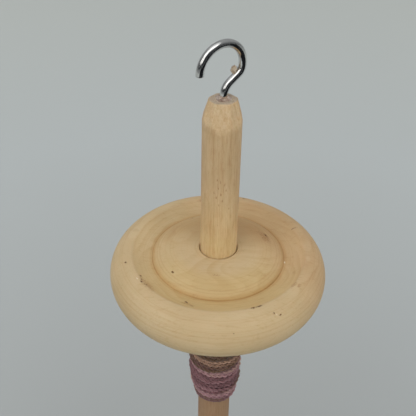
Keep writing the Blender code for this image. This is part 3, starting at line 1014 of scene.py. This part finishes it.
# the darkest tones, at 32 to 36 mm just under the whorl's rim, are the whorl's shadow painted into the dye
BANDS = (  # millimetres above the cop's foot, and the tone there
    (0.0, 0.50), (5.0, 0.45), (6.2, 0.34), (7.2, 0.36), (7.9, 0.82),
    (9.6, 0.86), (10.1, 0.60), (10.7, 0.95), (11.9, 0.90), (12.5, 0.52),
    (16.0, 0.44), (20.4, 0.46), (21.1, 0.84), (22.8, 0.86), (23.4, 0.48),
    (25.0, 0.42), (26.8, 0.36), (27.4, 0.84), (28.7, 0.88), (29.4, 0.40),
    (32.0, 0.24), (36.0, 0.05), (44.0, 0.60), (50.0, 0.35), (60.0, 0.20),
)


def colours_of(tones, table):
    """The table's colours at those tones."""
    stops = [stop for stop, colour in table]
    channels = zip(*[colour for stop, colour in table])
    return np.stack([np.interp(tones, stops, channel) for channel in channels], axis=1)


def dye(levels, along, ply):
    """The colour of each point of a ply, from the height it is wound at and its place in the yarn."""
    tone = np.interp((levels - COP_FOOT) / MM, [band[0] for band in BANDS], [band[1] for band in BANDS])
    stripe = wander(along / MM / 47.0 + ply * 0.05, 4.0)
    fleck = wander(along / MM / 3.1, ply * 9.0 + 14.0)
    tone = np.clip(tone + 0.32 * stripe + 0.13 * fleck, 0.0, 1.0)
    brown = np.clip((levels - COP_FOOT - BROWN_FROM) / (BROWN_TO - BROWN_FROM), 0.0, 1.0)[:, None]
    return colours_of(tone, TONES) * (1 - brown) + colours_of(tone, BROWNS) * brown


def wool():
    fabric = Graph("yarn_wool", roughness=0.9, specular=0.12, sheen=0.2, sheen_roughness=0.6)
    strand = fabric.node("Attribute", {}, "Vector", attribute_name="strand")
    dyed = fabric.node("Attribute", {}, "Color", attribute_name="dye")
    hairs = fabric.noise(strand, (1.2, 9.0, 9.0), detail=3.0, roughness=0.6)
    felt = fabric.noise(strand, (3.0, 5.0, 5.0), detail=2.0)
    fabric.colour(dyed)
    fabric.tint(fabric.ease(hairs, 0.52, 0.33), (0.74, 0.70, 0.70))
    fabric.tint(fabric.ease(hairs, 0.62, 0.80), (0.62, 0.47, 0.44), "MIX")
    fabric.rough(fabric.ease(hairs, 0.3, 0.7, 0.80, 0.97))
    fabric.bump(hairs, 0.00018, 0.8)
    fabric.bump(felt, 0.00010, 0.6)
    return fabric.material


def ply_tube(centres, levels, along, ply):
    """Ring points, strand vectors and colours of one ply twisted round the yarn's middle line."""
    ahead = np.gradient(centres, axis=0)
    ahead /= np.linalg.norm(ahead, axis=1)[:, None]
    outward = centres * (1.0, 1.0, 0.0)
    outward /= np.linalg.norm(outward, axis=1)[:, None]
    sideways = np.cross(ahead, outward)
    outward = np.cross(sideways, ahead)
    swell = wander(along / MM / 7.0, ply * 3.0 + 8.0)
    turn = math.tau * along / TWIST_PITCH + math.pi * ply
    offset = PLY_OFFSET * (1 + 0.15 * swell)
    middle = centres + (outward * np.cos(turn)[:, None] + sideways * np.sin(turn)[:, None]) * offset[:, None]
    radius = PLY_RADIUS * (1 + 0.28 * swell)
    ends = np.minimum(along, along[-1] - along) / (2 * YARN_DIAMETER)
    radius = radius * np.clip(0.25 + ends, 0.0, 1.0)
    sides = np.arange(PLY_SIDES) * math.tau / PLY_SIDES
    angle = turn[:, None] + sides[None, :]
    ring = outward[:, None, :] * np.cos(angle)[..., None] + sideways[:, None, :] * np.sin(angle)[..., None]
    points = middle[:, None, :] + ring * radius[:, None, None]
    strand = np.empty(points.shape)
    strand[..., 0] = along[:, None] / MM
    strand[..., 1] = 0.5 * np.cos(sides)[None, :] + 7.0 * ply
    strand[..., 2] = 0.5 * np.sin(sides)[None, :]
    colours = np.repeat(dye(levels, along, ply), PLY_SIDES, axis=0)
    return points.reshape(-1, 3), strand.reshape(-1, 3), colours


def add_dye(mesh, shades):
    layer = mesh.color_attributes.new("dye", "FLOAT_COLOR", "POINT")
    layer.data.foreach_set("color", np.hstack([shades, np.ones((len(shades), 1))]).astype(np.float32).ravel())


def make_fuzz(centres, levels, along, surface):
    """Loose hairs that stand out of the outer turns."""
    chance = random.Random(12)
    outer = np.nonzero(along > along[-1] * INNER_SHARE)[0]
    shades = dye(levels, along, 0)
    points, colours, faces, strands = [], [], [], []
    for _ in range(HAIRS):
        index = int(chance.choice(outer))
        start = Vector(centres[index])
        out = Vector((start.x, start.y, 0.0)).normalized()
        ahead = (Vector(centres[min(index + 1, len(centres) - 1)]) - start).normalized()
        if ahead.length < 0.5:
            continue
        heading = (out * chance.uniform(0.2, 0.8) + ahead * chance.uniform(-1.0, 1.0)).normalized()
        sag = Vector((chance.uniform(-0.5, 0.5), chance.uniform(-0.5, 0.5), chance.uniform(-0.7, 0.3)))
        length = chance.uniform(0.8, 2.2) * MM
        place = start + out * HAIR_ROOT
        first = len(points)
        for ring in range(HAIR_RINGS):
            side = heading.cross(Vector((0.3, 0.2, 0.9))).normalized()
            other = heading.cross(side)
            thin = HAIR_RADIUS * (1 - ring / HAIR_RINGS)
            for corner in range(HAIR_SIDES):
                turn = math.tau * corner / HAIR_SIDES
                points.append(place + (side * math.cos(turn) + other * math.sin(turn)) * thin)
                colours.append(shades[index] * 1.15)
                strands.append((ring * 0.4, 0.1 * index, 0.0))
            place = place + heading * length / HAIR_RINGS
            heading = (heading + sag * 0.35).normalized()
        faces += ring_faces(HAIR_RINGS, HAIR_SIDES, first=first)
        faces.append(tuple(range(first, first + HAIR_SIDES))[::-1])
        faces.append(tuple(range(len(points) - HAIR_SIDES, len(points))))
    mesh = smooth_mesh("yarn_fuzz", points, faces)
    add_vectors(mesh, "strand", strands)
    add_dye(mesh, np.array(colours))
    return add_piece("yarn_fuzz", mesh, surface, SPINDLE)


def make_yarn():
    path = cop_path()
    places, along = resampled(path, RING_STEP)
    centres, levels = places[:, :3], places[:, 3]
    points, strands, colours, faces = [], [], [], []
    for ply in range(2):
        ring_points, strand, colour = ply_tube(centres, levels, along, ply)
        first = ply * len(ring_points)
        faces += ring_faces(len(centres), PLY_SIDES, first=first)
        last = first + len(ring_points) - PLY_SIDES
        faces.append(tuple(range(first + PLY_SIDES - 1, first - 1, -1)))
        faces.append(tuple(range(last, last + PLY_SIDES)))
        points.append(ring_points)
        strands.append(strand)
        colours.append(colour)
    mesh = smooth_mesh("yarn", np.concatenate(points), faces)
    add_vectors(mesh, "strand", np.concatenate(strands))
    add_dye(mesh, np.concatenate(colours))
    surface = wool()
    yarn = add_piece("yarn", mesh, surface, SPINDLE, nodes=["yarn_cop"])
    fuzz = make_fuzz(centres, levels, along, surface)


def main():
    bpy.context.scene.view_settings.view_transform = "Standard"
    make_camera()
    make_floor()
    make_world()
    make_ceiling()
    for softbox in SOFTBOXES:
        make_softbox(*softbox)
    make_yarn()
    make_whorl()
    make_shaft()
    make_hook()
    make_glue_collar()
    make_glue_bead()


main()
